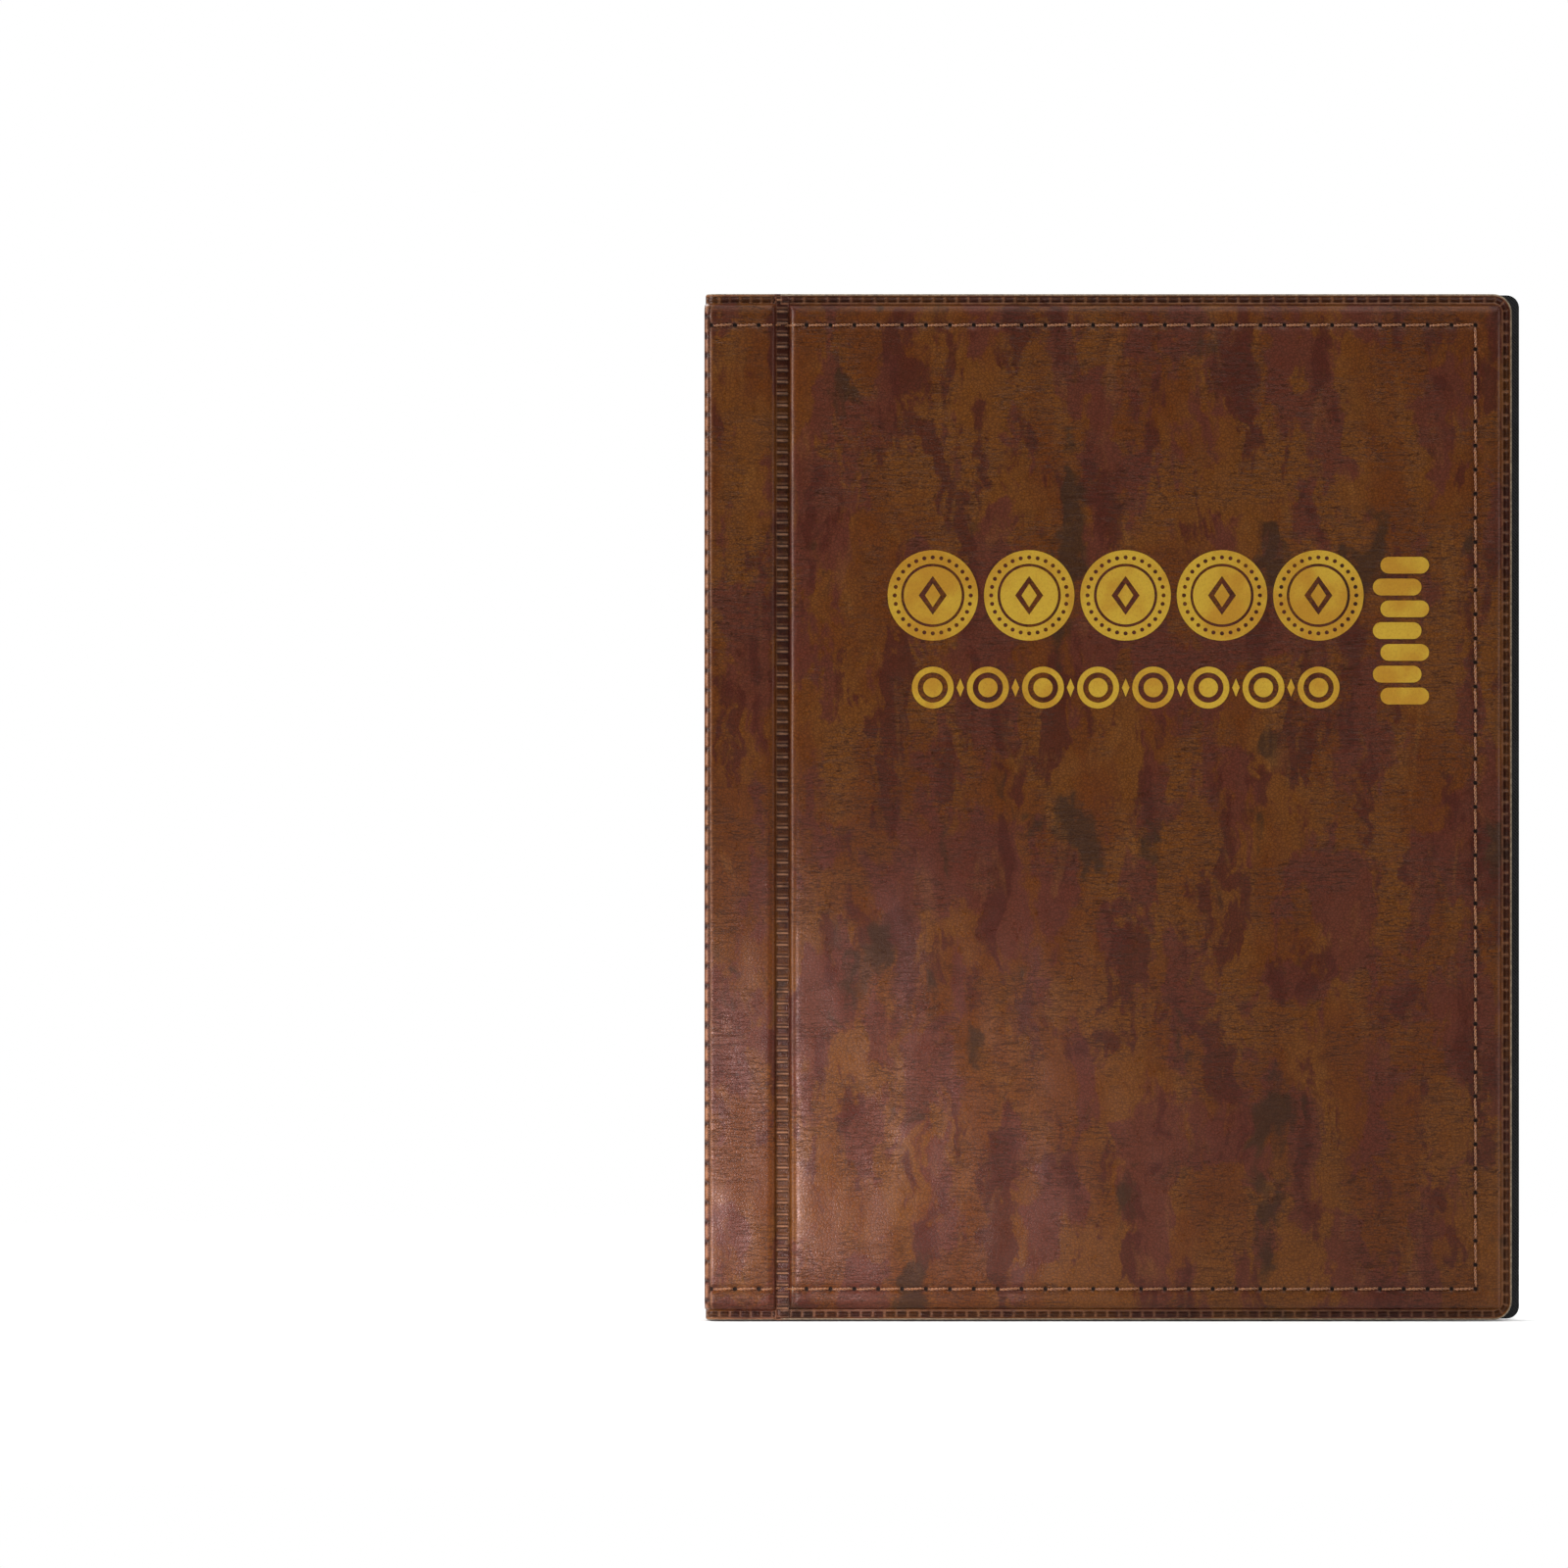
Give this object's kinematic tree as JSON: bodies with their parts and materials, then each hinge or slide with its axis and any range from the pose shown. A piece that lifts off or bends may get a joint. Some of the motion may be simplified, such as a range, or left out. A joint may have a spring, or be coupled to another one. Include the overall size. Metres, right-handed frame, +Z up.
{
  "type": "coin album",
  "caption": "Upright padded leatherette album with wrap covers, a hidden post binding and clear pages of coin pockets that fan out as the cover opens.",
  "frame": {"origin": "centre of the bottom of the album's box, standing upright on its bottom edge", "axes": "+X from the spine to the opening edge, -Y the front cover's side, +Z up along the spine"},
  "size_m": [0.195, 0.0142, 0.245],
  "materials": {
    "leatherette": "semi-gloss mottled brown leatherette with a fine grain",
    "thread": "twisted polyester thread",
    "foam": "soft padding sheet",
    "lining": "matt black embossed lining",
    "greyboard": "matt greyboard",
    "clamp_plastic": "matt black plastic strip",
    "post_brass": "plain turned brass",
    "gold_foil": "hot-stamped gold foil, satin",
    "clear_film": "clear soft vinyl film",
    "pocket_film": "clear soft vinyl film with welded seams"
  },
  "bodies": {
    "binding_block": {"spine_skin": "leatherette", "strip_stitching": "thread", "spine_board": "greyboard", "front_strip_board": "greyboard", "back_strip_board": "greyboard", "spine_lining": "lining", "front_clamp_strip": "clamp_plastic", "back_clamp_strip": "clamp_plastic", "binding_posts": "post_brass", "binding_screws": "post_brass", "page_margins": "clear_film"},
    "front_cover": {"front_cover_skin": "leatherette", "front_cover_padding": "foam", "front_cover_board": "greyboard", "front_cover_lining": "lining", "front_cover_stitching": "thread", "front_cover_foil": "gold_foil"},
    "back_cover": {"back_cover_skin": "leatherette", "back_cover_padding": "foam", "back_cover_board": "greyboard", "back_cover_lining": "lining", "back_cover_stitching": "thread"},
    "page_01": {"page_01_film": "clear_film", "page_01_pockets": "pocket_film", "page_01_flaps": "pocket_film"},
    "page_02": {"page_02_film": "clear_film", "page_02_pockets": "pocket_film", "page_02_flaps": "pocket_film"},
    "page_03": {"page_03_film": "clear_film", "page_03_pockets": "pocket_film", "page_03_flaps": "pocket_film"},
    "page_04": {"page_04_film": "clear_film", "page_04_pockets": "pocket_film", "page_04_flaps": "pocket_film"},
    "page_05": {"page_05_film": "clear_film", "page_05_pockets": "pocket_film", "page_05_flaps": "pocket_film"},
    "page_06": {"page_06_film": "clear_film", "page_06_pockets": "pocket_film", "page_06_flaps": "pocket_film"},
    "page_07": {"page_07_film": "clear_film", "page_07_pockets": "pocket_film", "page_07_flaps": "pocket_film"},
    "page_08": {"page_08_film": "clear_film", "page_08_pockets": "pocket_film", "page_08_flaps": "pocket_film"},
    "page_09": {"page_09_film": "clear_film", "page_09_pockets": "pocket_film", "page_09_flaps": "pocket_film"},
    "page_10": {"page_10_film": "clear_film", "page_10_pockets": "pocket_film", "page_10_flaps": "pocket_film"}
  },
  "joints": [
    {"name": "front_cover_hinge", "type": "hinge", "parent": "binding_block", "child": "front_cover", "pos_m": [-0.0795, -0.00725, 0.1225], "axis": [0, 0, -1], "range_deg": [0, 180]},
    {"name": "back_cover_hinge", "type": "hinge", "parent": "binding_block", "child": "back_cover", "pos_m": [-0.0795, 0.00725, 0.1225], "axis": [0, 0, 1], "range_deg": [0, 180]},
    {"name": "page_01_bend", "type": "hinge", "parent": "binding_block", "child": "page_01", "pos_m": [-0.0746, -0.00248, 0.1225], "axis": [0, 0, -1], "range_deg": [0, 95.5]},
    {"name": "page_02_bend", "type": "hinge", "parent": "binding_block", "child": "page_02", "pos_m": [-0.07414, -0.00193, 0.1225], "axis": [0, 0, -1], "range_deg": [0, 86]},
    {"name": "page_03_bend", "type": "hinge", "parent": "binding_block", "child": "page_03", "pos_m": [-0.07376, -0.00137, 0.1225], "axis": [0, 0, -1], "range_deg": [0, 76.5]},
    {"name": "page_04_bend", "type": "hinge", "parent": "binding_block", "child": "page_04", "pos_m": [-0.07346, -0.00082, 0.1225], "axis": [0, 0, -1], "range_deg": [0, 67]},
    {"name": "page_05_bend", "type": "hinge", "parent": "binding_block", "child": "page_05", "pos_m": [-0.07322, -0.00028, 0.1225], "axis": [0, 0, -1], "range_deg": [0, 57.5]},
    {"name": "page_06_bend", "type": "hinge", "parent": "binding_block", "child": "page_06", "pos_m": [-0.07304, 0.00028, 0.1225], "axis": [0, 0, -1], "range_deg": [0, 48]},
    {"name": "page_07_bend", "type": "hinge", "parent": "binding_block", "child": "page_07", "pos_m": [-0.07294, 0.00082, 0.1225], "axis": [0, 0, -1], "range_deg": [0, 38.5]},
    {"name": "page_08_bend", "type": "hinge", "parent": "binding_block", "child": "page_08", "pos_m": [-0.0729, 0.00137, 0.1225], "axis": [0, 0, -1], "range_deg": [0, 29]},
    {"name": "page_09_bend", "type": "hinge", "parent": "binding_block", "child": "page_09", "pos_m": [-0.0729, 0.00193, 0.1225], "axis": [0, 0, -1], "range_deg": [0, 19.5]},
    {"name": "page_10_bend", "type": "hinge", "parent": "binding_block", "child": "page_10", "pos_m": [-0.0729, 0.00248, 0.1225], "axis": [0, 0, -1], "range_deg": [0, 10]}
  ],
  "couplings": [
    {"joint": "page_01_bend", "follows": "front_cover_hinge", "ratio": 0.52778},
    {"joint": "page_02_bend", "follows": "front_cover_hinge", "ratio": 0.475},
    {"joint": "page_03_bend", "follows": "front_cover_hinge", "ratio": 0.42222},
    {"joint": "page_04_bend", "follows": "front_cover_hinge", "ratio": 0.36944},
    {"joint": "page_05_bend", "follows": "front_cover_hinge", "ratio": 0.31667},
    {"joint": "page_06_bend", "follows": "front_cover_hinge", "ratio": 0.26389},
    {"joint": "page_07_bend", "follows": "front_cover_hinge", "ratio": 0.21111},
    {"joint": "page_08_bend", "follows": "front_cover_hinge", "ratio": 0.15833},
    {"joint": "page_09_bend", "follows": "front_cover_hinge", "ratio": 0.10556},
    {"joint": "page_10_bend", "follows": "front_cover_hinge", "ratio": 0.052778}
  ]
}
